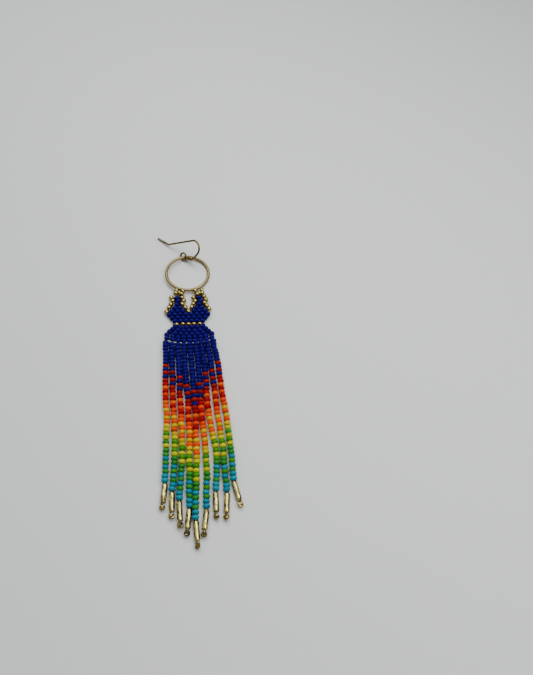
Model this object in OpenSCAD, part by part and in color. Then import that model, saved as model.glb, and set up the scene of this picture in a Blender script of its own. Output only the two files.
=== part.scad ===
// Beaded drop earring in the form of a fringed dress, lying on its back on a table.
// X runs to the right, Y up the earring to its hook, Z up from the table. Sizes are millimetres.

/* [Ring] */
// Outer diameter of the ring that the dress hangs from
ring_d = 18; // [17:0.1:18.4]
// Thickness of the ring's round wire
ring_wire_d = 1.2; // [1:0.05:1.25]
// Tilt of the ring as it lies, its left side up, in degrees
ring_tilt = 5; // [4:0.5:6]

/* [Ear hook] */
// Thickness of the hook's wire
hook_wire_d = 0.8; // [0.7:0.05:0.8]
// Radius of the eye's centre line
eye_r = 1.5; // [1.4:0.05:1.5]
// Turn of the eye out of the hook's plane, in degrees
eye_turn = 8; // [7:1:9]
// Reach of the straight stem from the eye's middle
stem_len = 4.9; // [4.9:0.05:5.3]
// Angle between the stem and the wire that rises to the arch, in degrees
rise_angle = 53; // [45:1:60]
// Length of the wire that rises to the arch
rise_len = 2.6; // [2:0.1:3]
// Radius of the arch that goes through the ear lobe
arch_r = 3.1; // [3:0.05:3.4]
// How far round the arch goes, in degrees
arch_sweep = 144; // [135:1:150]
// Straight leg behind the ear lobe
leg_len = 13.2; // [11:0.1:14]
// Angle of the kink between the leg and the tail, in degrees
kink_angle = 30; // [20:1:40]
// Length of the flared tail
tail_len = 6.5; // [5:0.1:7]

/* [Coil and ball] */
// Diameter of the drilled ball on the stem
ball_d = 1.9; // [1.6:0.05:1.9]
// Thickness of the coil's wire
coil_wire_d = 0.26; // [0.2:0.02:0.26]
// Turns of the coil
coil_turns = 3; // [2:1:3]

/* [Beads] */
// Diameter of a seed bead
bead_d = 2.1; // [2:0.02:2.12]
// Pitch of the bead rows in the dress
row_pitch = 1.5; // [1.45:0.01:1.52]
// Diameter of the long tube beads
bugle_d = 2; // [1.8:0.05:2]
// Length of the long tube beads
bugle_len = 6.4; // [6:0.1:6.6]
// Diameter over the corners of the cut end beads
end_bead_d = 2.2; // [2:0.05:2.3]
// Length of the cut end beads
end_bead_len = 1.5; // [1.3:0.1:1.6]
// Bore of the tube beads and end beads
bore_d = 1; // [0.8:0.05:1.1]

/* [Fringe] */
// Thickness of a strand where it stands for its seed beads
strand_d = 2; // [1.8:0.05:2]
// Thickness of the thread
thread_d = 0.3; // [0.2:0.05:0.4]

/* [Hidden] */

// Gap left between neighbouring pieces
piece_gap = 0.06;
// Overlap by which the rows of one panel are joined
row_overlap = 0.01;
// Middle of the lying earring, measured from the middle of the skirt's hem
middle = [1.83, -12.3];

// The ring's centre line and its middle, the lowest point of its wire touching the table
ring_r = (ring_d - ring_wire_d) / 2;
ring_middle = [0.1, 31.3, ring_wire_d / 2 + ring_r * sin(ring_tilt)];

// The hook leans on its tail and on the ring, so its plane is turned in all three ways
hook_turn = [48, -18, -37];
eye_middle = [-1.25, 39.8, 1.7];
// Radius of the bend between the stem and the rising wire, and of the bend at the kink
rise_bend_r = 0.8;
kink_r = 1.2;
coil_start = eye_r + hook_wire_d / 2 + 0.1;
coil_end = 3.1;
coil_r = hook_wire_d / 2 + coil_wire_d / 2 + piece_gap;
ball_x = coil_end + 0.05 + ball_d / 2;

// Rows of the dress from the hem up: [beads, rise of the row's ends]
skirt_rows = [[9, 1.4], [9, 1.5], [8, 1.3], [7, 0.9], [6, 0.6]];
waist_row_at = 5;
waist_beads = 5;
bodice_rows = [6, 7, 8];
// The rows lie across the dress with their left ends up
row_slope = 0.07;
strap_row_at = 9;
strap_pitch = 1.58;
// Blue beads of the top bodice row and of the straps: [row, first bead, last bead] as places across
strap_cells = [
    [9, -6.3, -2.1], [9, 2.1, 6.3],
    [10, -5.25, -3.15], [10, 3.15, 5.25],
    [11, -4.4, -4.4], [11, 4.15, 4.15],
    [12, -3.8, -3.8], [12, 4.75, 4.75],
    [13, -4.4, -4.4], [13, 4.2, 4.2]];

// Gold edging beads, each at [across, up]
outer_left_beads = [[-8.5, 13.4], [-7.4, 15.1], [-6.7, 16.7], [-5.95, 18.3], [-6.6, 19.9]];
outer_right_beads = [[7.9, 13.2], [7.2, 14.8], [6.4, 16.2], [6.9, 17.7], [6.3, 19.2]];
neckline_beads = [
    [-2.3, 19.4], [-1.7, 17.9], [-2.4, 16.4], [-1.15, 14.7], [0, 12.8],
    [1.3, 14.6], [1.95, 16], [2.75, 17.5], [2.1, 19]];

// Bead groups that tie the straps to the ring: [across, lower edge, upper edge, underside, climb angle]
bail_w = 4.2;
bail_left_at = [-3.45, 20.8, 23.4, 0.5, 12];
bail_right_at = [4.4, 20.5, 23.4, 0.3, 8];

// Strands from left to right: [top, bottom, lean of the drop, end across, places across on the way down]
strand_table = [
    [0.05, -54.5, -7, -9.5, [-8.9, -8.9, -9, -9.1, -8.7, -8.9, -9.1]],
    [-0.85, -57.6, -1.5, -7.3, [-6.75, -6.7, -6.5, -6.6, -6.2, -6.1, -6.2, -6.6]],
    [-1.4, -60.7, 1, -5, [-4.2, -4.1, -3.9, -4, -3.7, -3.6, -3.7, -4.2]],
    [-1.65, -63.4, -7, -1.8, [-2, -1.9, -1.7, -1.2, -1.2, -1, -1.3, -1.4, -1.7]],
    [-1.65, -67.4, 2, 0.1, [0.2, 0.5, 0.8, 1, 1.2, 1.2, 1.2, 0.9, 0.5]],
    [-1.85, -64.2, -8.5, 3.7, [2.4, 2.9, 3.1, 3.3, 3.4, 3.9, 4.2, 4.3, 3.8]],
    [-1.75, -58.9, -1, 6.8, [4.5, 5.1, 5.5, 5.5, 5.9, 6.7, 7.7, 7.6]],
    [-1.55, -59.5, -5, 10.5, [6.7, 7.4, 7.9, 8.5, 8.8, 9.5, 10.1, 10.2]],
    [-0.95, -55.9, 12, 12.9, [8.9, 10, 10.5, 11, 11.8, 12.2, 12.7]]];
// How the hole of each end bead points as it lies: [degrees round from the right, degrees up]
end_bead_turns = [
    [50, 20], [88, 20], [-12, 30], [-92, 55], [172, 12], [80, 50], [35, 15], [-48, 12], [20, 12]];
// A drop hangs this far below the last seed bead, and an end bead this far below its tube bead
drop_gap = 0.25;
end_gap = 0.25;
first_station = -3;
station_step = 7;
tube_sides = 8;

blue = [0.05, 0.1, 0.55];
red = [0.75, 0.12, 0.1];
gold = [0.72, 0.55, 0.22];
pale_gold = [0.8, 0.72, 0.5];
white = [0.92, 0.92, 0.9];

// Middle of a row, its rows counted from the hem
function row_mid(n) = row_pitch * (min(n, strap_row_at) - 0.5) + strap_pitch * max(n - strap_row_at, 0);

// Height of a row at a place across, where a skirt row also rises towards its ends
function row_y(n, x) = row_mid(n) - row_slope * x + (n < len(skirt_rows) ? skirt_rise(n, x) : 0);
function skirt_rise(n, x) = skirt_rows[n][1] * pow(abs(x) / ((skirt_rows[n][0] - 1) * bead_d / 2), 3);

function strand_points(s) = concat(
    [[s[4][0], s[0], bead_d / 2]],
    [for (i = [0 : len(s[4]) - 1]) [s[4][i], first_station - station_step * i, bead_d / 2]],
    [[s[3], s[1], bead_d / 2]]);

// A round tube with flat ends, swept along points
function unit(v) = v / norm(v);
function heading(p, i) = unit(p[min(i + 1, len(p) - 1)] - p[max(i - 1, 0)]);
function tube_ring(p, i, r, up) =
    let (ahead = heading(p, i), side = unit(cross(ahead, up)), top = cross(side, ahead))
    [for (k = [0 : tube_sides - 1])
        p[i] + r * (cos(360 * (k + 0.5) / tube_sides) * side + sin(360 * (k + 0.5) / tube_sides) * top)];
module tube(p, r, up) {
    n = tube_sides;
    last = (len(p) - 1) * n;
    polyhedron(
        points = [for (i = [0 : len(p) - 1]) each tube_ring(p, i, r, up)],
        faces = concat(
            [[for (k = [0 : n - 1]) k]],
            [for (i = [0 : len(p) - 2], k = [0 : n - 1])
                [i * n + k, (i + 1) * n + k, (i + 1) * n + (k + 1) % n, i * n + (k + 1) % n]],
            [[for (k = [n - 1 : -1 : 0]) last + k]]));
}

// Moves a piece from the hem's middle to the earring's middle
module centred() {
    translate([-middle[0], -middle[1], 0]) children();
}

// The hook's own plane: the eye in the middle, the stem along X, the leg on the far side in Y
function ahead(angle) = [cos(angle), sin(angle)];
function leftward(angle) = [-sin(angle), cos(angle)];
module hook_plane() {
    centred() translate(eye_middle) rotate(hook_turn) children();
}

module hook_rod(from, angle, length) {
    translate([from[0], from[1], 0]) rotate([0, 90, angle]) cylinder(d = hook_wire_d, h = length, $fn = 32);
}

module hook_bend(middle_at, r, start, sweep) {
    translate([middle_at[0], middle_at[1], 0]) rotate([0, 0, start])
        rotate_extrude(angle = sweep, $fn = 64) translate([r, 0]) circle(d = hook_wire_d, $fn = 32);
}

module ear_hook() {
    leg_angle = rise_angle + arch_sweep;
    tail_angle = leg_angle - kink_angle;
    kink_reach = kink_r * tan(kink_angle / 2);
    rise_bend = [stem_len, rise_bend_r];
    rise_start = rise_bend - rise_bend_r * leftward(rise_angle);
    arch_middle = rise_start + rise_len * ahead(rise_angle) + arch_r * leftward(rise_angle);
    leg_start = arch_middle - arch_r * leftward(leg_angle);
    kink_middle = leg_start + (leg_len - kink_reach) * ahead(leg_angle) - kink_r * leftward(leg_angle);
    tail_start = kink_middle + kink_r * leftward(tail_angle);
    color(gold) hook_plane() union() {
        rotate([eye_turn, 0, 0]) hook_bend([0, 0], eye_r, 0, 360);
        hook_rod([eye_r, 0], 0, stem_len - eye_r);
        hook_bend(rise_bend, rise_bend_r, -90, rise_angle);
        hook_rod(rise_start, rise_angle, rise_len);
        hook_bend(arch_middle, arch_r, rise_angle - 90, arch_sweep);
        hook_rod(leg_start, leg_angle, leg_len - kink_reach);
        hook_bend(kink_middle, kink_r, tail_angle + 90, kink_angle);
        hook_rod(tail_start, tail_angle, tail_len - kink_reach);
    }
}

module hook_coil() {
    steps = 10;
    length = coil_end - coil_start - coil_wire_d;
    color(gold) hook_plane() tube(
        [for (i = [0 : coil_turns * steps]) let (t = i / steps)
            [coil_start + coil_wire_d / 2 + length * t / coil_turns,
             coil_r * cos(360 * t), coil_r * sin(360 * t)]],
        coil_wire_d / 2, [1, 0, 0]);
}

module hook_ball() {
    color(gold) hook_plane() translate([ball_x, 0, 0]) difference() {
        sphere(d = ball_d, $fn = 48);
        rotate([0, 90, 0]) cylinder(d = hook_wire_d + 2 * piece_gap, h = 2 * ball_d, center = true, $fn = 32);
    }
}

module ring_wire(extra) {
    translate(ring_middle) rotate([0, ring_tilt, 0])
        rotate_extrude($fn = 96) translate([ring_r, 0]) circle(d = ring_wire_d + 2 * extra, $fn = 32);
}

module ring() {
    color(gold) centred() ring_wire(0);
}

// A slab of gold beads that climbs from the strap to the ring, hollowed where the ring lies in it
module bail(at) {
    color(gold) centred() difference() {
        translate([at[0] - bail_w / 2, at[1], at[3]]) rotate([at[4], 0, 0])
            cube([bail_w, at[2] - at[1], bead_d]);
        ring_wire(piece_gap);
    }
}

module bead_discs(places, extra) {
    for (p = places) translate(p) circle(d = bead_d - 0.2 + 2 * extra, $fn = 24);
}

module trim(places) {
    color(gold) centred() linear_extrude(bead_d) bead_discs(places, 0);
}

// One row of beads seen from above, from the middle of its first bead to the middle of its last,
// grown all round by extra
module row_strip(n, first, last, extra) {
    half = (n < strap_row_at ? row_pitch : strap_pitch) / 2 + extra;
    steps = max(1, round((last - first) / bead_d));
    places = concat(
        [first - bead_d / 2 - extra],
        [for (i = [0 : steps]) first + (last - first) * i / steps],
        [last + bead_d / 2 + extra]);
    polygon(concat(
        [for (x = places) [x, row_y(n, x) - half]],
        [for (i = [len(places) - 1 : -1 : 0]) [places[i], row_y(n, places[i]) + half]]));
}

module full_row(n, beads, extra) {
    reach = (beads - 1) * bead_d / 2;
    row_strip(n, -reach, reach, extra);
}

module bodice_panel() {
    color(blue) centred() linear_extrude(bead_d) difference() {
        union() {
            for (i = [0 : len(bodice_rows) - 1]) full_row(waist_row_at + 1 + i, bodice_rows[i], row_overlap);
            for (c = strap_cells) row_strip(c[0], c[1], c[2], row_overlap);
        }
        bead_discs(outer_left_beads, piece_gap);
        bead_discs(outer_right_beads, piece_gap);
        bead_discs(neckline_beads, piece_gap);
        full_row(waist_row_at, waist_beads, 0);
    }
}

module waist_row() {
    color(gold) centred() linear_extrude(bead_d) full_row(waist_row_at, waist_beads, -piece_gap);
}

module skirt_panel() {
    color(blue) centred() linear_extrude(bead_d) difference() {
        union() {
            for (n = [0 : len(skirt_rows) - 1]) full_row(n, skirt_rows[n][0], row_overlap);
        }
        full_row(waist_row_at, waist_beads, 0);
    }
}

module fringe_strand(i) {
    color(red) centred() tube(strand_points(strand_table[i - 1]), strand_d / 2, [0, 0, 1]);
}

// The lower end of a strand, where its drop points down the earring
module at_drop(i) {
    s = strand_table[i - 1];
    centred() translate([s[3], s[1], bugle_d / 2]) rotate([90, 0, s[2]]) children();
}

module drilled_bead(d, length, sides) {
    difference() {
        cylinder(d = d, h = length, center = true, $fn = sides);
        cylinder(d = bore_d, h = length + 2, center = true, $fn = 24);
    }
}

module bugle(i) {
    color(pale_gold) at_drop(i) translate([0, 0, drop_gap + bugle_len / 2])
        drilled_bead(bugle_d, bugle_len, 32);
}

// The thread turns round in an end bead, so the bead lies across the drop with its lowest edge on the table
module end_bead(i) {
    s = strand_table[i - 1];
    turn = end_bead_turns[i - 1];
    down = drop_gap + bugle_len + end_gap + end_bead_d / 2;
    height = (end_bead_d * cos(turn[1]) + end_bead_len * sin(turn[1])) / 2;
    color(gold) centred() translate([s[3] + down * sin(s[2]), s[1] - down * cos(s[2]), height])
        rotate([0, 90 - turn[1], turn[0]]) drilled_bead(end_bead_d, end_bead_len, 8);
}

module fringe_thread() {
    color(white) for (i = [1 : len(strand_table)])
        at_drop(i) translate([0, 0, drop_gap / 2]) cylinder(d = thread_d, h = bugle_len, $fn = 16);
}

ear_hook();
hook_coil();
hook_ball();
ring();
bail(bail_left_at);  // bail_left
bail(bail_right_at);  // bail_right
trim(outer_left_beads);  // trim_outer_left
trim(outer_right_beads);  // trim_outer_right
trim(neckline_beads);  // neckline
bodice_panel();
waist_row();
skirt_panel();
fringe_strand(1);  // fringe_strand_1
fringe_strand(2);  // fringe_strand_2
fringe_strand(3);  // fringe_strand_3
fringe_strand(4);  // fringe_strand_4
fringe_strand(5);  // fringe_strand_5
fringe_strand(6);  // fringe_strand_6
fringe_strand(7);  // fringe_strand_7
fringe_strand(8);  // fringe_strand_8
fringe_strand(9);  // fringe_strand_9
bugle(1);  // bugle_1
bugle(2);  // bugle_2
bugle(3);  // bugle_3
bugle(4);  // bugle_4
bugle(5);  // bugle_5
bugle(6);  // bugle_6
bugle(7);  // bugle_7
bugle(8);  // bugle_8
bugle(9);  // bugle_9
end_bead(1);  // end_bead_1
end_bead(2);  // end_bead_2
end_bead(3);  // end_bead_3
end_bead(4);  // end_bead_4
end_bead(5);  // end_bead_5
end_bead(6);  // end_bead_6
end_bead(7);  // end_bead_7
end_bead(8);  // end_bead_8
end_bead(9);  // end_bead_9
fringe_thread();
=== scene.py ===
import math
import random

import bpy
from mathutils import Matrix, Vector


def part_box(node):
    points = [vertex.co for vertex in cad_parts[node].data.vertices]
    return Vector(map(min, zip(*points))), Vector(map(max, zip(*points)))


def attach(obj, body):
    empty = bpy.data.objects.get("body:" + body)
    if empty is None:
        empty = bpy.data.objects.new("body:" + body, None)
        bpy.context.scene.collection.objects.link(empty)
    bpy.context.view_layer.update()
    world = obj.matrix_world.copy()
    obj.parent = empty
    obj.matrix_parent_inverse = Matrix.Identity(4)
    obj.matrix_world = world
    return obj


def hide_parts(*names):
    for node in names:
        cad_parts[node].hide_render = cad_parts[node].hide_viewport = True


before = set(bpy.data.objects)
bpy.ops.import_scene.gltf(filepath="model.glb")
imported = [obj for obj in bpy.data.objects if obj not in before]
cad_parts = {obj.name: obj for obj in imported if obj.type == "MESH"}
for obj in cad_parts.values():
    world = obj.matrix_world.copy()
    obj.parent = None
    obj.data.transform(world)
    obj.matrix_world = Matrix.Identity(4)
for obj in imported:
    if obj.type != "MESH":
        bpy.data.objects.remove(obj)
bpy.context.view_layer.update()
mm = 0.001

# The beadwork is laid out in millimetres from the middle of the skirt's hem, as the solids are.
# The hem's middle is found from the ring, whose own middle lies at these places.
ringSeat = {"across": 0.1, "up": 31.3}
ringLow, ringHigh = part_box("ring")
hemMiddle = (ringLow + ringHigh) / 2 - Vector((ringSeat["across"], ringSeat["up"], 0)) * mm
hemMiddle.z = 0


def spot(across, up, height):
    return hemMiddle + Vector((across, up, height)) * mm


# Small helpers for meshes

almostNothing = 1e-4


def addObject(name, data):
    obj = bpy.data.objects.new(name, data)
    bpy.context.scene.collection.objects.link(obj)
    return obj


def meshObject(name, points, faces=(), smooth=True):
    mesh = bpy.data.meshes.new(name)
    mesh.from_pydata([tuple(p) for p in points], [], faces)
    mesh.polygons.foreach_set("use_smooth", [smooth] * len(mesh.polygons))
    mesh.update()
    return addObject(name, mesh)


def latheFaces(rings, sides, closed=True):
    faces = []
    for r in range(rings if closed else rings - 1):
        for s in range(sides):
            a, b = r * sides + s, r * sides + (s + 1) % sides
            shift = ((r + 1) % rings - r) * sides
            faces.append((a, b, b + shift, a + shift))
    return faces


def around(radius, turn, along):
    return Vector((radius * math.cos(turn), radius * math.sin(turn), along))


def wear(obj, material):
    obj.data.materials.clear()
    obj.data.materials.append(material)


def hand(piece, slotName, *nodes):
    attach(piece, "root")
    if nodes:
        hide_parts(*nodes)


def tubeAlong(name, paths, radius, sides=8):
    # one mesh of round strands, each along its own list of points
    points, faces = [], []
    for path in paths:
        start = len(points)
        side = Vector((0, 0, 1))
        for i, here in enumerate(path):
            ahead = (path[min(i + 1, len(path) - 1)] - path[max(i - 1, 0)]).normalized()
            side = side - ahead * side.dot(ahead)
            side = side.normalized() if side.length > almostNothing else ahead.orthogonal().normalized()
            across = ahead.cross(side)
            for s in range(sides):
                turn = 2 * math.pi * s / sides
                points.append(here + (side * math.cos(turn) + across * math.sin(turn)) * radius)
        rings = len(path)
        faces += [tuple(start + k for k in face) for face in latheFaces(rings, sides, closed=False)]
        faces.append(tuple(start + s for s in reversed(range(sides))))
        faces.append(tuple(start + (rings - 1) * sides + s for s in range(sides)))
    return meshObject(name, points, faces)


# Small helpers for node trees

def socketId(tree, name):
    return next(s.identifier for s in tree.interface.items_tree if s.item_type == "SOCKET"
                and s.in_out == "INPUT" and s.name == name)


def newTree(name, inputs):
    tree = bpy.data.node_groups.new(name, "GeometryNodeTree")
    tree.interface.new_socket("Geometry", in_out="INPUT", socket_type="NodeSocketGeometry")
    for title, kind, value in inputs:
        socket = tree.interface.new_socket(title, in_out="INPUT", socket_type="NodeSocket" + kind)
        if value is not None:
            socket.default_value = value
    tree.interface.new_socket("Geometry", in_out="OUTPUT", socket_type="NodeSocketGeometry")
    return tree


def addNode(tree, kind, where, **settings):
    node = tree.nodes.new(kind)
    node.location = where
    for key, value in settings.items():
        setattr(node, key, value)
    return node


def plainMesh(obj):
    # turns what the modifier makes into the object's own mesh
    graph = bpy.context.evaluated_depsgraph_get()
    mesh = bpy.data.meshes.new_from_object(obj.evaluated_get(graph))
    obj.modifiers.clear()
    obj.data = mesh
    mesh.name = obj.name


# Materials

def newMaterial(name):
    material = bpy.data.materials.new(name)
    material.use_nodes = True
    nodes = material.node_tree.nodes
    return material, nodes, material.node_tree.links, nodes["Principled BSDF"]


palette = {
    "blue": (0.008, 0.0001, 0.108),
    "red": (0.245, 0.009, 0.007),
    "crimson": (0.30, 0.002, 0.005),
    "orange": (0.68, 0.040, 0.0),
    "amber": (0.63, 0.088, 0.0),
    "tangerine": (0.72, 0.058, 0.0),
    "lemon": (0.57, 0.365, 0.0),
    "yellow": (0.46, 0.45, 0.0),
    "leaf": (0.040, 0.20, 0.007),
    "pea": (0.028, 0.185, 0.022),
    "sky": (0.001, 0.205, 0.285),
    "gold": (0.66, 0.54, 0.22),
}

beadGlass = {"roughness": 0.16, "specular": 0.30, "shadeSpread": 0.16, "glintWhite": 0.004}


def beadGlassMaterial():
    material, nodes, links, shader = newMaterial("opaqueBeadGlass")
    tone = nodes.new("ShaderNodeAttribute")
    tone.attribute_name = "tone"
    shade = nodes.new("ShaderNodeAttribute")
    shade.attribute_name = "shade"
    spread = nodes.new("ShaderNodeMapRange")
    spread.inputs["To Min"].default_value = 1 - beadGlass["shadeSpread"]
    spread.inputs["To Max"].default_value = 1 + beadGlass["shadeSpread"]
    links.new(shade.outputs["Fac"], spread.inputs["Value"])
    tint = nodes.new("ShaderNodeVectorMath")
    tint.operation = "SCALE"
    links.new(tone.outputs["Color"], tint.inputs[0])
    links.new(spread.outputs["Result"], tint.inputs["Scale"])
    links.new(tint.outputs["Vector"], shader.inputs["Base Color"])
    # highlights keep the glass's own colour; the little white makes the dark blue's paler
    paler = nodes.new("ShaderNodeVectorMath")
    paler.inputs[1].default_value = [beadGlass["glintWhite"]] * 3
    links.new(tone.outputs["Color"], paler.inputs[0])
    glint = nodes.new("ShaderNodeVectorMath")
    glint.operation = "NORMALIZE"
    links.new(paler.outputs["Vector"], glint.inputs[0])
    links.new(glint.outputs["Vector"], shader.inputs["Specular Tint"])
    shader.inputs["Roughness"].default_value = beadGlass["roughness"]
    shader.inputs["Specular IOR Level"].default_value = beadGlass["specular"]
    return material


goldFinish = {
    # grain is how fine the unevenness is, as a noise scale
    "bead": {"color": (0.42, 0.33, 0.105), "roughness": 0.10, "grain": 900, "bump": 0.10},
    "ring": {"color": (0.28, 0.21, 0.092), "roughness": 0.40, "grain": 1500, "bump": 0.16},
    "hook": {"color": (0.20, 0.141, 0.049), "roughness": 0.08, "grain": 700, "bump": 0.04},
    "cut": {"color": (0.30, 0.22, 0.069), "roughness": 0.07, "grain": 1200, "bump": 0.06},
}

polishRange = (0.7, 1.4)  # how far the roughness wanders, as shares of its own value
dentDepth = 0.05
grainDetail = 4


def goldMaterial(name, finish):
    material, nodes, links, shader = newMaterial(name)
    place = nodes.new("ShaderNodeTexCoord")
    grain = nodes.new("ShaderNodeTexNoise")
    grain.inputs["Scale"].default_value = finish["grain"]
    grain.inputs["Detail"].default_value = grainDetail
    links.new(place.outputs["Object"], grain.inputs["Vector"])
    polish = nodes.new("ShaderNodeMapRange")
    polish.inputs["To Min"].default_value = finish["roughness"] * polishRange[0]
    polish.inputs["To Max"].default_value = finish["roughness"] * polishRange[1]
    links.new(grain.outputs["Fac"], polish.inputs["Value"])
    links.new(polish.outputs["Result"], shader.inputs["Roughness"])
    dent = nodes.new("ShaderNodeBump")
    dent.inputs["Strength"].default_value = finish["bump"]
    dent.inputs["Distance"].default_value = dentDepth * mm
    links.new(grain.outputs["Fac"], dent.inputs["Height"])
    links.new(dent.outputs["Normal"], shader.inputs["Normal"])
    shader.inputs["Base Color"].default_value = (*finish["color"], 1)
    shader.inputs["Metallic"].default_value = 1
    return material


bugleFinish = {
    # colours of the streaks and of the painted side shade, each from its place in the pattern on
    "tones": [(0.40, (0.12, 0.083, 0.032)), (0.46, (0.42, 0.335, 0.11)), (0.55, (0.76, 0.68, 0.22))],
    "roughness": 0.16, "coat": 0.3, "bump": 0.5, "bumpDepth": 0.12,
    # how far the sides are painted darker, towards brown, as shade; streaks around and along the tube, and
    # their slant in degrees
    "sides": -0.09, "streaks": (8.0, 1.3), "slant": 12, "detail": 5, "fineness": 0.6, "waviness": 0.6,
}


def bugleMaterial():
    # silver-lined glass: bright streaks run along the tube's top and bottom; its sides are painted darker
    # and browner as shade
    material, nodes, links, shader = newMaterial("silverLinedBugle")
    uv = nodes.new("ShaderNodeUVMap")
    stretch = nodes.new("ShaderNodeMapping")
    stretch.inputs["Scale"].default_value = (*bugleFinish["streaks"], 1)
    stretch.inputs["Rotation"].default_value[2] = math.radians(bugleFinish["slant"])
    links.new(uv.outputs["UV"], stretch.inputs["Vector"])
    streak = nodes.new("ShaderNodeTexNoise")
    streak.inputs["Scale"].default_value = 1.0
    streak.inputs["Detail"].default_value = bugleFinish["detail"]
    streak.inputs["Roughness"].default_value = bugleFinish["fineness"]
    streak.inputs["Distortion"].default_value = bugleFinish["waviness"]
    links.new(stretch.outputs["Vector"], streak.inputs["Vector"])
    wayRound = nodes.new("ShaderNodeSeparateXYZ")
    links.new(uv.outputs["UV"], wayRound.inputs["Vector"])
    turned = nodes.new("ShaderNodeMath")
    turned.operation = "MULTIPLY"
    turned.inputs[1].default_value = 4 * math.pi  # two plain sides and two sides with painted shade to one turn
    links.new(wayRound.outputs["X"], turned.inputs[0])
    side = nodes.new("ShaderNodeMath")
    side.operation = "COSINE"
    links.new(turned.outputs[0], side.inputs[0])
    # painted shade: the sideways-facing parts of the tube are pushed towards the brown streak colour
    share = nodes.new("ShaderNodeMapRange")
    share.inputs["From Min"].default_value = -1
    share.inputs["To Max"].default_value = bugleFinish["sides"]
    links.new(side.outputs[0], share.inputs["Value"])
    streaksAndPaintedShade = nodes.new("ShaderNodeMath")
    links.new(streak.outputs["Fac"], streaksAndPaintedShade.inputs[0])
    links.new(share.outputs["Result"], streaksAndPaintedShade.inputs[1])
    color = nodes.new("ShaderNodeValToRGB")
    stops = color.color_ramp.elements
    stops.remove(stops[1])
    for i, (position, tone) in enumerate(bugleFinish["tones"]):
        stop = stops.new(position) if i else stops[0]
        stop.position, stop.color = position, (*tone, 1)
    links.new(streaksAndPaintedShade.outputs[0], color.inputs["Fac"])
    links.new(color.outputs["Color"], shader.inputs["Base Color"])
    dent = nodes.new("ShaderNodeBump")
    dent.inputs["Strength"].default_value = bugleFinish["bump"]
    dent.inputs["Distance"].default_value = bugleFinish["bumpDepth"] * mm
    links.new(streak.outputs["Fac"], dent.inputs["Height"])
    links.new(dent.outputs["Normal"], shader.inputs["Normal"])
    shader.inputs["Metallic"].default_value = 1
    shader.inputs["Roughness"].default_value = bugleFinish["roughness"]
    shader.inputs["Coat Weight"].default_value = bugleFinish["coat"]
    return material


threadFinish = {
    "dark": (0.50, 0.49, 0.44), "light": (0.78, 0.77, 0.72), "twist": 1800, "wander": 2, "roughness": 0.7,
    "sheen": 0.3,
}


def threadMaterial():
    material, nodes, links, shader = newMaterial("whiteThread")
    place = nodes.new("ShaderNodeTexCoord")
    twist = nodes.new("ShaderNodeTexWave")
    twist.inputs["Scale"].default_value = threadFinish["twist"]
    twist.inputs["Distortion"].default_value = threadFinish["wander"]
    twist.bands_direction = "DIAGONAL"
    links.new(place.outputs["Object"], twist.inputs["Vector"])
    color = nodes.new("ShaderNodeValToRGB")
    color.color_ramp.elements[0].color = (*threadFinish["dark"], 1)
    color.color_ramp.elements[1].color = (*threadFinish["light"], 1)
    links.new(twist.outputs["Fac"], color.inputs["Fac"])
    links.new(color.outputs["Color"], shader.inputs["Base Color"])
    shader.inputs["Roughness"].default_value = threadFinish["roughness"]
    shader.inputs["Sheen Weight"].default_value = threadFinish["sheen"]
    return material


glass = beadGlassMaterial()
goldBead = goldMaterial("galvanisedGoldBead", goldFinish["bead"])
goldRing = goldMaterial("satinGoldRing", goldFinish["ring"])
goldHook = goldMaterial("polishedGoldWire", goldFinish["hook"])
goldCut = goldMaterial("cutGoldBead", goldFinish["cut"])
bugleGold = bugleMaterial()
thread = threadMaterial()
print("materials ready")


# Seed beads

seedBead = {
    # the beads of the rows and strands bulge, so they are a little fuller than their spacing
    "diameter": 2.1, "dressDiameter": 2.2, "strandDiameter": 2.38, "length": 1.5, "sides": 10,
    # radius and place along the hole, as shares of the bead's radius and half length
    "profile": [(0.42, -0.80), (0.70, -1.0), (1.0, -0.38), (1.0, 0.38), (0.70, 1.0), (0.42, 0.80)],
    # how far beads differ in size, tilt in degrees and sit off their place
    "sizeSpread": 0.035, "tiltSpread": 4.5, "shiftSpread": 0.06,
}
seeds = {
    "skirt": 11, "bodice": 12, "waist": 13, "edging": 21,
    "strands": 30, "chart": 50, "bugles": 100, "endBeads": 200,
    "tiltStep": 17,  # keeps a bead's tilt and shade from following its size
}


def beadShape():
    points = []
    for radius, along in seedBead["profile"]:
        for s in range(seedBead["sides"]):
            points.append(around(radius, 2 * math.pi * s / seedBead["sides"], along))
    return meshObject("seedBeadShape", points, latheFaces(len(seedBead["profile"]), seedBead["sides"]))


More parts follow.
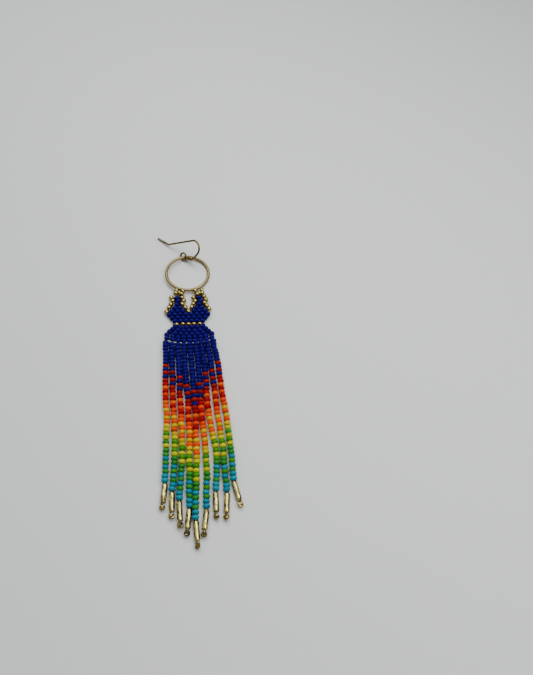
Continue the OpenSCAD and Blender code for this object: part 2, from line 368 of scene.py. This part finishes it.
def beadTree(name, threaded):
    # sets one bead on each point: on a route at the point's distance along it, or where the point is
    tree = newTree(name, [
        ("Bead", "Object", None), ("Route", "Object", None),
        ("Bead Diameter", "Float", seedBead["diameter"] * mm),
        ("Size Spread", "Float", seedBead["sizeSpread"]),
        ("Tilt Spread", "Float", math.radians(seedBead["tiltSpread"])),
        ("Shift Spread", "Float", seedBead["shiftSpread"] * mm),
        ("Seed", "Int", 1), ("Bead Material", "Material", None)])
    link = tree.links.new
    given = addNode(tree, "NodeGroupInput", (-1200, 0))
    bead = addNode(tree, "GeometryNodeObjectInfo", (-200, -500))
    link(given.outputs["Bead"], bead.inputs["Object"])

    geometry = given.outputs["Geometry"]
    if threaded:
        route = addNode(tree, "GeometryNodeObjectInfo", (-1000, 400))
        link(given.outputs["Route"], route.inputs["Object"])
        along = addNode(tree, "GeometryNodeInputNamedAttribute", (-1000, 200), data_type="FLOAT")
        along.inputs["Name"].default_value = "along"
        sample = addNode(tree, "GeometryNodeSampleCurve", (-800, 300), mode="LENGTH", use_all_curves=False)
        link(route.outputs["Geometry"], sample.inputs["Curves"])
        link(along.outputs["Attribute"], sample.inputs["Length"])
        seat = addNode(tree, "GeometryNodeSetPosition", (-400, 200))
        link(sample.outputs["Position"], seat.inputs["Position"])
        # the heading is kept before the beads are shifted
        keep = addNode(tree, "GeometryNodeStoreNamedAttribute", (-600, 200), data_type="FLOAT_VECTOR")
        keep.inputs["Name"].default_value = "beadAxis"
        link(geometry, keep.inputs["Geometry"])
        link(sample.outputs["Tangent"], keep.inputs["Value"])
        link(keep.outputs["Geometry"], seat.inputs["Geometry"])
        geometry = seat.outputs["Geometry"]

    less = addNode(tree, "ShaderNodeMath", (-800, -200), operation="MULTIPLY")
    less.inputs[1].default_value = -1
    link(given.outputs["Shift Spread"], less.inputs[0])
    wander = addNode(tree, "FunctionNodeRandomValue", (-600, -200), data_type="FLOAT_VECTOR")
    link(less.outputs[0], wander.inputs["Min"])
    link(given.outputs["Shift Spread"], wander.inputs["Max"])
    link(given.outputs["Seed"], wander.inputs["Seed"])
    shift = addNode(tree, "GeometryNodeSetPosition", (-200, 100))
    link(geometry, shift.inputs["Geometry"])
    link(wander.outputs["Value"], shift.inputs["Offset"])

    axis = addNode(tree, "GeometryNodeInputNamedAttribute", (-600, -500), data_type="FLOAT_VECTOR")
    axis.inputs["Name"].default_value = "beadAxis"
    align = addNode(tree, "FunctionNodeAlignRotationToVector", (-400, -500), axis="Z")
    link(axis.outputs["Attribute"], align.inputs["Vector"])
    lessTilt = addNode(tree, "ShaderNodeMath", (-1000, -700), operation="MULTIPLY")
    lessTilt.inputs[1].default_value = -1
    link(given.outputs["Tilt Spread"], lessTilt.inputs[0])
    lowTilt = addNode(tree, "ShaderNodeCombineXYZ", (-800, -700))
    highTilt = addNode(tree, "ShaderNodeCombineXYZ", (-800, -850))
    for corner, source in ((lowTilt, lessTilt.outputs[0]), (highTilt, given.outputs["Tilt Spread"])):
        link(source, corner.inputs["X"])
        link(source, corner.inputs["Y"])
        corner.inputs["Z"].default_value = math.pi if corner is highTilt else -math.pi
    tilt = addNode(tree, "FunctionNodeRandomValue", (-600, -750), data_type="FLOAT_VECTOR")
    link(lowTilt.outputs[0], tilt.inputs["Min"])
    link(highTilt.outputs[0], tilt.inputs["Max"])
    tiltSeed = addNode(tree, "ShaderNodeMath", (-800, -1000), operation="ADD")
    tiltSeed.inputs[1].default_value = seeds["tiltStep"]
    link(given.outputs["Seed"], tiltSeed.inputs[0])
    link(tiltSeed.outputs[0], tilt.inputs["Seed"])
    toRotation = addNode(tree, "FunctionNodeEulerToRotation", (-400, -750))
    link(tilt.outputs["Value"], toRotation.inputs["Euler"])
    turn = addNode(tree, "FunctionNodeRotateRotation", (-200, -700), rotation_space="LOCAL")
    link(align.outputs["Rotation"], turn.inputs["Rotation"])
    link(toRotation.outputs["Rotation"], turn.inputs["Rotate By"])

    lowSize = addNode(tree, "ShaderNodeMath", (-1000, -1150), operation="SUBTRACT")
    lowSize.inputs[0].default_value = 1
    link(given.outputs["Size Spread"], lowSize.inputs[1])
    highSize = addNode(tree, "ShaderNodeMath", (-1000, -1300), operation="ADD")
    highSize.inputs[0].default_value = 1
    link(given.outputs["Size Spread"], highSize.inputs[1])
    size = addNode(tree, "FunctionNodeRandomValue", (-800, -1200), data_type="FLOAT")
    link(lowSize.outputs[0], size.inputs["Min"])
    link(highSize.outputs[0], size.inputs["Max"])
    link(given.outputs["Seed"], size.inputs["Seed"])
    radius = addNode(tree, "ShaderNodeMath", (-600, -1150), operation="MULTIPLY")
    link(given.outputs["Bead Diameter"], radius.inputs[0])
    link(size.outputs["Value"], radius.inputs[1])
    halfRadius = addNode(tree, "ShaderNodeMath", (-450, -1150), operation="MULTIPLY")
    halfRadius.inputs[1].default_value = 0.5
    link(radius.outputs[0], halfRadius.inputs[0])
    length = addNode(tree, "GeometryNodeInputNamedAttribute", (-600, -1350), data_type="FLOAT")
    length.inputs["Name"].default_value = "beadLength"
    halfLength = addNode(tree, "ShaderNodeMath", (-450, -1350), operation="MULTIPLY")
    halfLength.inputs[1].default_value = 0.5
    link(length.outputs["Attribute"], halfLength.inputs[0])
    scale = addNode(tree, "ShaderNodeCombineXYZ", (-200, -1200))
    link(halfRadius.outputs[0], scale.inputs["X"])
    link(halfRadius.outputs[0], scale.inputs["Y"])
    link(halfLength.outputs[0], scale.inputs["Z"])

    place = addNode(tree, "GeometryNodeInstanceOnPoints", (100, 0))
    link(shift.outputs["Geometry"], place.inputs["Points"])
    link(bead.outputs["Geometry"], place.inputs["Instance"])
    link(turn.outputs["Rotation"], place.inputs["Rotation"])
    link(scale.outputs[0], place.inputs["Scale"])
    shade = addNode(tree, "FunctionNodeRandomValue", (100, -300), data_type="FLOAT")
    link(tiltSeed.outputs[0], shade.inputs["Seed"])
    mark = addNode(tree, "GeometryNodeStoreNamedAttribute", (300, 0), data_type="FLOAT", domain="INSTANCE")
    mark.inputs["Name"].default_value = "shade"
    link(place.outputs["Instances"], mark.inputs["Geometry"])
    link(shade.outputs["Value"], mark.inputs["Value"])
    real = addNode(tree, "GeometryNodeRealizeInstances", (500, 0))
    link(mark.outputs["Geometry"], real.inputs["Geometry"])
    finish = addNode(tree, "GeometryNodeSetMaterial", (700, 0))
    link(real.outputs["Geometry"], finish.inputs["Geometry"])
    link(given.outputs["Bead Material"], finish.inputs["Material"])
    out = addNode(tree, "NodeGroupOutput", (900, 0))
    link(finish.outputs["Geometry"], out.inputs["Geometry"])
    return tree


beadForm = beadShape()
threadedBeads = beadTree("threadedBeads", threaded=True)
stitchedBeads = beadTree("stitchedBeads", threaded=False)


def setBeads(name, tree, points, material, seed, colors, lengths, axes=None, along=None, route=None,
             spread=1.0, diameter=seedBead["diameter"]):
    obj = meshObject(name, points)
    data = obj.data
    data.attributes.new("tone", "FLOAT_COLOR", "POINT").data.foreach_set(
        "color", [c for color in colors for c in (*palette[color], 1)])
    data.attributes.new("beadLength", "FLOAT", "POINT").data.foreach_set("value", lengths)
    if axes:
        data.attributes.new("beadAxis", "FLOAT_VECTOR", "POINT").data.foreach_set(
            "vector", [c for axis in axes for c in axis])
    if along:
        data.attributes.new("along", "FLOAT", "POINT").data.foreach_set("value", along)
    modifier = obj.modifiers.new("beads", "NODES")
    modifier.node_group = tree
    values = {
        "Bead": beadForm, "Bead Diameter": diameter * mm, "Size Spread": seedBead["sizeSpread"],
        "Tilt Spread": math.radians(seedBead["tiltSpread"]) * spread,
        "Shift Spread": seedBead["shiftSpread"] * mm * spread, "Seed": seed, "Bead Material": material}
    if route:
        values["Route"] = route
    for title, value in values.items():
        modifier[socketId(tree, title)] = value
    plainMesh(obj)
    wear(obj, material)
    for spare in ("beadAxis", "beadLength", "along"):
        if spare in obj.data.attributes:
            obj.data.attributes.remove(obj.data.attributes[spare])
    return obj


# The dress: brick-stitched rows, counted from the hem up, their left ends a little higher

dress = {
    "rowPitch": 1.5, "strapPitch": 1.58, "strapRow": 9, "slope": 0.07, "height": 1.22,
    # beads in each skirt row and how far its ends rise
    "skirtRows": [(9, 1.4), (9, 1.5), (8, 1.3), (7, 0.9), (6, 0.6)],
    "waistRow": 5, "waistBeads": [-4.65, -2.3, -0.12, 1.97, 4.14],
    "waistBeadLength": 1.3, "waistHeight": 1.2,
    "bodiceRows": [(6, 6), (7, 7), (8, 8)],
    "strapBeads": {
        9: [-6.3, -4.2, -2.1, 2.1, 4.2, 6.3], 10: [-5.25, -3.15, 3.15, 5.25],
        11: [-4.4, 4.15], 12: [-3.8, 4.75], 13: [-4.4, 4.2]},
}


def rowUp(row, across):
    straps = max(row - dress["strapRow"], 0)
    up = dress["rowPitch"] * (min(row, dress["strapRow"]) - 0.5) + dress["strapPitch"] * straps
    up -= dress["slope"] * across
    if row < len(dress["skirtRows"]):
        beads, rise = dress["skirtRows"][row]
        up += rise * (abs(across) / ((beads - 1) * seedBead["diameter"] / 2)) ** 3
    return up


def rowHeading(row, across):
    # the hole's direction, square to the row
    step = 0.2
    slope = (rowUp(row, across + step) - rowUp(row, across - step)) / (2 * step)
    return Vector((-slope, 1, 0)).normalized()


def rowPlaces(beads):
    return [(i - (beads - 1) / 2) * seedBead["diameter"] for i in range(beads)]


def stitchRows(name, rows, color, material, seed, length=seedBead["length"], height=dress["height"]):
    points, axes = [], []
    for row, places in rows:
        for across in places:
            points.append(spot(across, rowUp(row, across), height))
            axes.append(rowHeading(row, across))
    count = len(points)
    return setBeads(name, stitchedBeads, points, material, seed, [color] * count,
                    [length * mm] * count, axes=axes, diameter=seedBead["dressDiameter"])


skirtRows = [(row, rowPlaces(beads)) for row, (beads, rise) in enumerate(dress["skirtRows"])]
bodiceRows = [(row, rowPlaces(beads)) for row, beads in dress["bodiceRows"]]
bodiceRows += dress["strapBeads"].items()
waistRows = [(dress["waistRow"], dress["waistBeads"])]
hand(stitchRows("skirtBeads", skirtRows, "blue", glass, seeds["skirt"]), "blue_bead", "skirt_panel")
hand(stitchRows("bodiceBeads", bodiceRows, "blue", glass, seeds["bodice"]), "blue_bead", "bodice_panel")
waistBeads = stitchRows("waistBeads", waistRows, "gold", goldBead, seeds["waist"],
                        dress["waistBeadLength"], dress["waistHeight"])
hand(waistBeads, "gold_bead", "waist_row")
print("dress stitched")


# Gold edging and the bails: each bead at (across, up, height, lean of its hole from straight up, lift)

goldEdges = {
    "trimLeftBeads": ("trim_outer_left", [
        (-8.5, 13.4, 1.17, 35, 10), (-7.4, 15.1, 1.17, -20, 0), (-6.7, 16.7, 1.17, 30, 8),
        (-5.95, 18.3, 1.17, -35, 0), (-6.6, 19.9, 1.22, 20, 12)]),
    "trimRightBeads": ("trim_outer_right", [
        (7.9, 13.2, 1.17, -30, 0), (7.2, 14.8, 1.17, 75, 12), (6.4, 16.2, 1.17, -20, 0),
        (6.9, 17.7, 1.17, -25, 6), (6.3, 19.2, 1.22, -30, 0)]),
    "necklineBeads": ("neckline", [
        (-2.3, 19.4, 1.18, 15, 0), (-1.7, 17.9, 1.17, -40, 8), (-2.4, 16.4, 1.17, 20, 0),
        (-1.15, 14.7, 1.17, 80, 14), (0.0, 12.8, 1.17, 90, 0), (1.3, 14.6, 1.17, -80, 14),
        (1.95, 16.0, 1.17, -20, 0), (2.75, 17.5, 1.17, 30, 8), (2.1, 19.0, 1.18, -20, 0)]),
    "bailLeftBeads": ("bail_left", [
        (-4.67, 21.4, 1.85, 0, 6), (-2.46, 20.9, 1.75, 0, 6), (-3.4, 21.9, 1.3, 0, 8),
        (-4.36, 22.5, 2.05, 90, 4), (-1.8, 21.75, 2.3, 90, 4)]),
    "bailRightBeads": ("bail_right", [
        (3.69, 20.4, 1.45, 0, 5), (5.6, 20.8, 1.45, 0, 5), (4.5, 21.1, 1.18, 0, 6),
        (2.93, 21.9, 1.95, -90, 4), (5.57, 21.95, 1.7, -90, 4)]),
}


def goldHeading(lean, lift):
    lean, lift = math.radians(lean), math.radians(lift)
    return Vector((math.sin(lean) * math.cos(lift), math.cos(lean) * math.cos(lift), math.sin(lift)))


for seed, (name, (node, beads)) in enumerate(goldEdges.items(), seeds["edging"]):
    piece = setBeads(name, stitchedBeads, [spot(x, y, z) for x, y, z, lean, lift in beads], goldBead, seed,
                     ["gold"] * len(beads), [seedBead["length"] * mm] * len(beads),
                     axes=[goldHeading(lean, lift) for x, y, z, lean, lift in beads])
    hand(piece, "gold_bead", node)
print("gold edging set")


# The fringe: nine strands, each with its own route, colours and drop

fringe = {
    # top, upper edge of the first coloured bead, bottom, lean of the drop, end across, places on the way
    "strands": [
        (0.05, -10.2, -54.5, -7.0, -9.5, [-8.9, -8.9, -9.0, -9.1, -8.7, -8.9, -9.1]),
        (-0.85, -13.2, -57.6, -1.5, -7.3, [-6.65, -6.65, -6.5, -6.6, -6.2, -6.1, -6.2, -6.6]),
        (-1.4, -15.5, -60.7, 1.0, -5.0, [-4.35, -4.2, -3.95, -4.0, -3.7, -3.6, -3.7, -4.2]),
        (-1.65, -19.2, -63.4, -7.0, -1.8, [-2.1, -1.95, -1.7, -1.2, -1.2, -1.0, -1.3, -1.4, -1.7]),
        (-1.65, -21.8, -67.4, 2.0, 0.1, [0.2, 0.5, 0.8, 1.0, 1.2, 1.2, 1.2, 0.9, 0.5]),
        (-1.85, -18.8, -64.2, -8.5, 3.7, [2.4, 2.9, 3.1, 3.3, 3.4, 3.9, 4.2, 4.3, 3.8]),
        (-1.75, -14.9, -58.9, -1.0, 6.8, [4.5, 5.1, 5.5, 5.5, 5.9, 6.7, 7.7, 7.6]),
        (-1.55, -13.8, -59.5, -5.0, 10.5, [6.7, 7.4, 7.9, 8.5, 8.8, 9.5, 10.1, 10.2]),
        (-0.95, -10.7, -55.9, 12.0, 12.9, [8.9, 10.0, 10.5, 11.0, 11.8, 12.2, 12.7])],
    "firstStation": -3.0, "stationStep": 7.0, "routeSteps": 12, "height": 1.36, "oddLift": 0.15,
    # how much of its share of the thread a bead fills, and how much looser it sits than in the dress
    "fill": 0.99, "looseness": 1.6,
    "blueBeads": [7, 8, 9, 12, 13, 12, 9, 8, 7],
    # the same chart runs down every strand below its blue beads
    "chart": "rbrbrrororooyoyoyygygyggtgtgtt",
    "dropGap": 0.25, "bugleLength": 6.4, "bugleRadius": 1.0, "boreRadius": 0.5, "threadRadius": 0.15,
}
strandParts = ("top", "change", "bottom", "lean", "end", "places")
strands = [dict(zip(strandParts, values)) for values in fringe["strands"]]

# each letter's colour from a place in the chart on
chartColors = {
    "r": [(0, "red"), (5, "crimson")],
    "b": [(0, "blue")],
    "o": [(6, "amber"), (8, "orange"), (11, "tangerine")],
    "y": [(12, "lemon"), (17, "yellow")],
    "g": [(18, "leaf"), (21, "pea")],
    "t": [(24, "sky")],
}
# share of amber beads where amber or orange is due, and of greens that are swapped: the lots were mixed
mixedLots = {"amber": 0.8, "orange": 0.35, "greens": 0.3}


def chartColor(place, dice):
    color = [name for start, name in chartColors[fringe["chart"][place]] if start <= place][-1]
    if color in ("orange", "amber"):
        return "amber" if dice.random() < mixedLots[color] else "orange"
    if color in ("leaf", "pea") and dice.random() < mixedLots["greens"]:
        return "pea" if color == "leaf" else "leaf"
    return color


def routeCurve(name, stations):
    # a smooth line through the stations, cut fine enough to measure along
    curve = bpy.data.curves.new(name, "CURVE")
    curve.dimensions = "3D"
    curve.resolution_u = fringe["routeSteps"]
    spline = curve.splines.new("BEZIER")
    spline.bezier_points.add(len(stations) - 1)
    for bezier, station in zip(spline.bezier_points, stations):
        bezier.co = station
        bezier.handle_left_type = bezier.handle_right_type = "AUTO"
    return addObject(name, curve)


def strandStations(number, strand):
    height = fringe["height"] + fringe["oddLift"] * (number % 2)
    stations = [(strand["places"][0], strand["top"])]
    for i, across in enumerate(strand["places"]):
        stations.append((across, fringe["firstStation"] - fringe["stationStep"] * i))
    stations.append((strand["end"], strand["bottom"]))
    return [spot(across, up, height) for across, up in stations]


def strandBeads(number, strand, blues):
    # even spacing down the blue beads and again down the coloured ones
    stations = strandStations(number, strand)
    route = routeCurve("route%d" % number, stations)
    total = route.data.splines[0].calc_length()
    changeAt = total * (strand["top"] - strand["change"]) / (strand["top"] - strand["bottom"])
    dice = random.Random(seeds["chart"] + number)
    charted = [chartColor(i, dice) for i in range(len(fringe["chart"]))]
    along, lengths, colors = [], [], []
    for start, end, tones in ((0, changeAt, ["blue"] * blues), (changeAt, total, charted)):
        pitch = (end - start) / len(tones)
        along += [start + (i + 0.5) * pitch for i in range(len(tones))]
        lengths += [pitch * fringe["fill"]] * len(tones)
        colors += tones
    piece = setBeads("strandBeads%d" % number, threadedBeads, [stations[0]] * len(along), glass,
                     seeds["strands"] + number, colors, lengths, along=along, route=route,
                     spread=fringe["looseness"], diameter=seedBead["strandDiameter"])
    hand(piece, "strand_bead", "fringe_strand_%d" % number)
    line = [vertex.co.copy() for vertex in route.to_mesh().vertices]
    route.to_mesh_clear()
    bpy.data.objects.remove(route)
    return line


def dropMatrix(strand):
    # local Z runs down the drop from the strand's lower end
    turn = Matrix.Rotation(math.radians(strand["lean"]), 4, "Z") @ Matrix.Rotation(math.radians(90), 4, "X")
    return Matrix.Translation(spot(strand["end"], strand["bottom"], fringe["bugleRadius"])) @ turn


strandLines = [strandBeads(number, strand, blues)
               for number, (strand, blues) in enumerate(zip(strands, fringe["blueBeads"]), 1)]
print("fringe threaded")


# Bugle beads: thin glass tubes with long uneven facets

bugleForm = {
    "sides": 20, "rings": 15, "twist": 0.2, "rim": 0.10, "rimDrop": 0.12, "boreInset": 0.005,
    # depth of the facets; how much of it is random, and how much a slow wave around and along
    "wave": 0.035, "random": 0.6, "waveAround": 3, "waveAlong": 7, "patternLength": 3,
}


def bugleTube(number, strand):
    dice = random.Random(seeds["bugles"] + number)
    length, radius, bore = (fringe[key] * mm for key in ("bugleLength", "bugleRadius", "boreRadius"))
    sides, rings, chance = bugleForm["sides"], bugleForm["rings"], bugleForm["random"]
    place = dropMatrix(strand) @ Matrix.Translation((0, 0, fringe["dropGap"] * mm))
    facet = [dice.uniform(-1, 1) for s in range(sides)]
    twist = dice.uniform(-bugleForm["twist"], bugleForm["twist"])
    points = []
    for ring in range(rings):
        share = ring / (rings - 1)
        edge = min(share, 1 - share) * length
        trim = 1 - bugleForm["rimDrop"] * max(0, 1 - edge / (bugleForm["rim"] * mm)) ** 2
        for s in range(sides):
            turn = 2 * math.pi * s / sides + twist * share
            slow = math.sin(bugleForm["waveAround"] * turn + bugleForm["waveAlong"] * share + number)
            dent = bugleForm["wave"] * (0.5 + 0.5 * (facet[s] * chance + (1 - chance) * slow))
            points.append(place @ around(radius * (trim - dent), turn, share * length))
    for share in (1 - bugleForm["boreInset"], bugleForm["boreInset"]):
        for s in range(sides):
            points.append(place @ around(bore, 2 * math.pi * s / sides + twist, share * length))
    obj = meshObject("bugle%d" % number, points, latheFaces(rings + 2, sides))

    # the pattern, with its painted side shade, runs once around each tube and has its own place on it
    layer = obj.data.uv_layers.new(name="around")
    for loop in obj.data.loops:
        ring, s = divmod(loop.vertex_index, sides)
        share = min(ring, rings - 1) / (rings - 1)
        layer.data[loop.index].uv = (s / sides + number, share * bugleForm["patternLength"] + number)
    for polygon in obj.data.polygons:
        corners = {k: obj.data.loops[k].vertex_index % sides for k in polygon.loop_indices}
        if sides - 1 in corners.values():
            for k in (k for k, s in corners.items() if s == 0):
                layer.data[k].uv.x += 1
    wear(obj, bugleGold)
    hand(obj, "bugle_gold", "bugle_%d" % number)


# Cut end beads, each resting on one corner with its hole across the drop or slanting

endBeads = {
    "radius": 1.1, "length": 1.5, "gap": 0.25, "sides": 8, "cut": 0.10,
    # place along the hole, share of the radius and turn by so many sides, for each ring of corners
    "profile": [(-0.5, 0.78, 0.5), (-0.25, 1.0, 0), (0.25, 1.0, 0.5), (0.5, 0.78, 0)],
    "boreEnds": [0.44, -0.44], "boreShare": 0.86, "boreTurn": 0.25,
    # where each hole points: degrees round from the right, degrees up
    "turns": [(50, 20), (88, 20), (-12, 30), (-92, 55), (172, 12), (80, 50), (35, 15), (-48, 12), (20, 12)],
}


def endBeadMatrix(number, strand):
    # local Z is the hole
    heading, up = (math.radians(angle) for angle in endBeads["turns"][number - 1])
    down = fringe["dropGap"] + fringe["bugleLength"] + endBeads["gap"] + endBeads["radius"]
    height = endBeads["radius"] * math.cos(up) + endBeads["length"] / 2 * math.sin(up)
    lean = math.radians(strand["lean"])
    middle = spot(strand["end"] + down * math.sin(lean), strand["bottom"] - down * math.cos(lean), height)
    turn = Matrix.Rotation(heading, 4, "Z") @ Matrix.Rotation(math.pi / 2 - up, 4, "Y")
    return Matrix.Translation(middle) @ turn


def endBead(number, strand):
    dice = random.Random(seeds["endBeads"] + number)
    place = endBeadMatrix(number, strand)
    length, radius, sides = endBeads["length"] * mm, endBeads["radius"] * mm, endBeads["sides"]
    bore = fringe["boreRadius"] * mm * endBeads["boreShare"]
    points = []
    for share, reach, shift in endBeads["profile"]:
        for s in range(sides):
            out = radius * (reach - dice.uniform(0, endBeads["cut"]))
            points.append(place @ around(out, 2 * math.pi * (s + shift) / sides, share * length))
    for share in endBeads["boreEnds"]:
        for s in range(sides):
            turn = 2 * math.pi * (s + endBeads["boreTurn"]) / sides
            points.append(place @ around(bore, turn, share * length))
    obj = meshObject("endBead%d" % number, points, latheFaces(len(points) // sides, sides), smooth=False)
    wear(obj, goldCut)
    hand(obj, "end_gold", "end_bead_%d" % number)


for number, strand in enumerate(strands, 1):
    bugleTube(number, strand)
    endBead(number, strand)
print("drops hung")


# Thread: down each strand and drop, and round into the end bead

dropTurn = {
    # where the thread starts and stops inside the bugle, from its two ends
    "start": 0.1, "stop": 0.3,
    # how far it runs straight on, passes beside the bead, stands out of the hole and goes back into it
    "straight": 0.45, "beside": 0.16, "out": 0.22, "in": 0.15,
    # where the hole's end faces away from the bugle by more than this, the thread passes beside the bead
    "facingAway": 0.2, "radius": 0.09, "sides": 6,
}


def dropThread(number, strand):
    # the straight thread down the bugle, and two loose turns into the ends of the end bead's hole
    place = dropMatrix(strand)
    reach = fringe["dropGap"] + fringe["bugleLength"]
    line = [place @ Vector((0, 0, along * mm))
            for along in (dropTurn["start"], reach * 0.5, reach - dropTurn["stop"])]
    bead = endBeadMatrix(number, strand)
    leave = line[-1]
    away = (bead.translation - leave).normalized()
    hole = (bead.to_3x3() @ Vector((0, 0, 1))).normalized()
    loops = []
    for sign in (-1, 1):
        out = hole * sign
        mouth = bead.translation + out * endBeads["length"] / 2 * mm
        path = [leave, leave + away * dropTurn["straight"] * mm]
        if out.dot(away) > dropTurn["facingAway"]:
            beside = out.cross(Vector((0, 0, 1))).normalized() * sign
            path.append(bead.translation + beside * (endBeads["radius"] + dropTurn["beside"]) * mm)
        path += [mouth + out * dropTurn["out"] * mm, mouth - out * dropTurn["in"] * mm, bead.translation]
        loops.append(softLine(path))
    return line, loops


def softLine(path, steps=4):
    # rounds the corners of a short given line
    fine = []
    padded = [path[0], *path, path[-1]]
    for before, start, end, after in zip(padded, padded[1:], padded[2:], padded[3:]):
        for k in range(steps):
            t = k / steps
            linear = (end - before) * t
            square = (2 * before - 5 * start + 4 * end - after) * t ** 2
            cube = (3 * start - before - 3 * end + after) * t ** 3
            fine.append(0.5 * (2 * start + linear + square + cube))
    return fine + [path[-1]]


# The stitches that show: one bowed dash between each two hem beads, and three at the skirt's side

hemStitch = {
    "shares": (0.0, 0.15, 0.35, 0.5, 0.65, 0.85, 1.0),
    # below the beads' middles and how much lower it sags; its height and how much higher it bows
    "below": 0.66, "sag": 0.28, "height": 1.1, "bow": 0.35, "radius": 0.14,
}
sideStitch = {
    # across, up, heading in degrees, length
    "stitches": [(5.8, 2.4, 55, 0.8), (7.4, 0.1, 130, 0.6), (7.6, -2.7, 100, 1.0)],
    "height": 1.75, "bow": 0.45,
}


def hemPath(left, right):
    path = []
    for share in hemStitch["shares"]:
        across = left + (right - left) * share
        bow = math.sin(math.pi * share)
        up = rowUp(0, across) - hemStitch["below"] - hemStitch["sag"] * bow
        path.append(spot(across, up, hemStitch["height"] + hemStitch["bow"] * bow))
    return path


def sidePath(across, up, heading, length):
    along = Vector((math.cos(math.radians(heading)), math.sin(math.radians(heading)))) * length / 2
    return [spot(across + along.x * t, up + along.y * t, sideStitch["height"] - sideStitch["bow"] * t * t)
            for t in (-1, -0.5, 0, 0.5, 1)]


hemBeads = rowPlaces(dress["skirtRows"][0][0])
hemPaths = [hemPath(left, right) for left, right in zip(hemBeads, hemBeads[1:])]
threadPaths = []
loosePaths = [sidePath(*stitch) for stitch in sideStitch["stitches"]]
for number, (line, strand) in enumerate(zip(strandLines, strands), 1):
    drop, loops = dropThread(number, strand)
    threadPaths.append(line + drop)
    loosePaths += loops
fringeThread = tubeAlong("fringeThread", threadPaths, fringe["threadRadius"] * mm)
hemStitches = tubeAlong("hemStitches", hemPaths, hemStitch["radius"] * mm)
looseThread = tubeAlong("looseThread", loosePaths, dropTurn["radius"] * mm, sides=dropTurn["sides"])
hand(fringeThread, "thread", "fringe_thread")
hand(hemStitches, "thread")
hand(looseThread, "thread")
for piece in (fringeThread, hemStitches, looseThread):
    wear(piece, thread)
print("thread run")


# Ring, hook, coil and ball keep their solids

goldSolids = {
    "ring": (goldRing, "gold_ring"), "ear_hook": (goldHook, "gold_wire"),
    "hook_coil": (goldHook, "gold_wire"), "hook_ball": (goldHook, "gold_wire"),
}
weldWithin = 0.0005  # joins the loose triangles, so that the surface can be shaded smooth

for node, (material, slotName) in goldSolids.items():
    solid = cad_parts[node]
    wear(solid, material)
    solid.data.polygons.foreach_set("use_smooth", [True] * len(solid.data.polygons))
    solid.modifiers.new("joined", "WELD").merge_threshold = weldWithin * mm
    solid.modifiers.new("even", "WEIGHTED_NORMAL").keep_sharp = False
bpy.data.objects.remove(beadForm)
print("wire and ring finished")


# Floor, light and camera

studio = {
    "floor": (0.715, 0.744, 0.718), "floorRoughness": 0.75, "floorReach": 3.0,
    "lampAt": (0.09, 0.07, 0.33), "lampSize": (0.70, 0.22), "lampPower": 1.86,
    # the room is bright overhead and behind, darker at the horizon and on the camera's side
    "roomColor": (0.95, 0.97, 1.0), "roomDark": 0.03, "roomBright": 0.85, "cameraSide": 0.10,
    "horizon": (0.08, 0.55),
}


def makeFloor():
    half = studio["floorReach"]
    corners = [(-half, -half, 0), (half, -half, 0), (half, half, 0), (-half, half, 0)]
    floor = meshObject("floor", corners, [(0, 1, 2, 3)])
    material, nodes, links, shader = newMaterial("paleTable")
    shader.inputs["Base Color"].default_value = (*studio["floor"], 1)
    shader.inputs["Roughness"].default_value = studio["floorRoughness"]
    wear(floor, material)


def makeLight():
    world = bpy.data.worlds.new("studio")
    bpy.context.scene.world = world
    world.use_nodes = True
    nodes, links = world.node_tree.nodes, world.node_tree.links
    background = nodes["Background"]
    background.inputs["Color"].default_value = (*studio["roomColor"], 1)
    place = nodes.new("ShaderNodeTexCoord")
    parts = nodes.new("ShaderNodeSeparateXYZ")
    links.new(place.outputs["Generated"], parts.inputs["Vector"])
    behind = nodes.new("ShaderNodeMapRange")
    behind.inputs["From Min"].default_value = -1
    behind.inputs["To Min"].default_value = studio["cameraSide"]
    links.new(parts.outputs["Y"], behind.inputs["Value"])
    above = nodes.new("ShaderNodeMapRange")
    above.inputs["From Min"].default_value, above.inputs["From Max"].default_value = studio["horizon"]
    links.new(parts.outputs["Z"], above.inputs["Value"])
    both = nodes.new("ShaderNodeMath")
    both.operation = "MULTIPLY"
    links.new(behind.outputs["Result"], both.inputs[0])
    links.new(above.outputs["Result"], both.inputs[1])
    room = nodes.new("ShaderNodeMapRange")
    room.inputs["To Min"].default_value = studio["roomDark"]
    room.inputs["To Max"].default_value = studio["roomBright"]
    links.new(both.outputs[0], room.inputs["Value"])
    links.new(room.outputs["Result"], background.inputs["Strength"])
    lamp = bpy.data.lights.new("softbox", "AREA")
    lamp.energy = studio["lampPower"]
    lamp.shape = "RECTANGLE"
    lamp.size, lamp.size_y = studio["lampSize"]
    obj = addObject("softbox", lamp)
    obj.location = studio["lampAt"]
    obj.rotation_euler = (-obj.location).to_track_quat("-Z", "Y").to_euler()


camera = {
    # in millimetres from the hem; it looks down by pitch and is turned by heading, in degrees
    "at": (17.43, -120.64, 192.7), "heading": 5.5, "pitch": 58.09,
    "lens": 32.0, "sensor": 36.0, "near": 0.01,
}


def makeCamera():
    data = bpy.data.cameras.new("camera")
    data.lens = camera["lens"]
    data.sensor_width = camera["sensor"]
    data.clip_start = camera["near"]
    obj = addObject("camera", data)
    obj.location = spot(*camera["at"])
    obj.rotation_euler = (math.radians(90 - camera["pitch"]), 0, math.radians(-camera["heading"]))
    bpy.context.scene.camera = obj


makeFloor()
makeLight()
makeCamera()
print("studio ready")
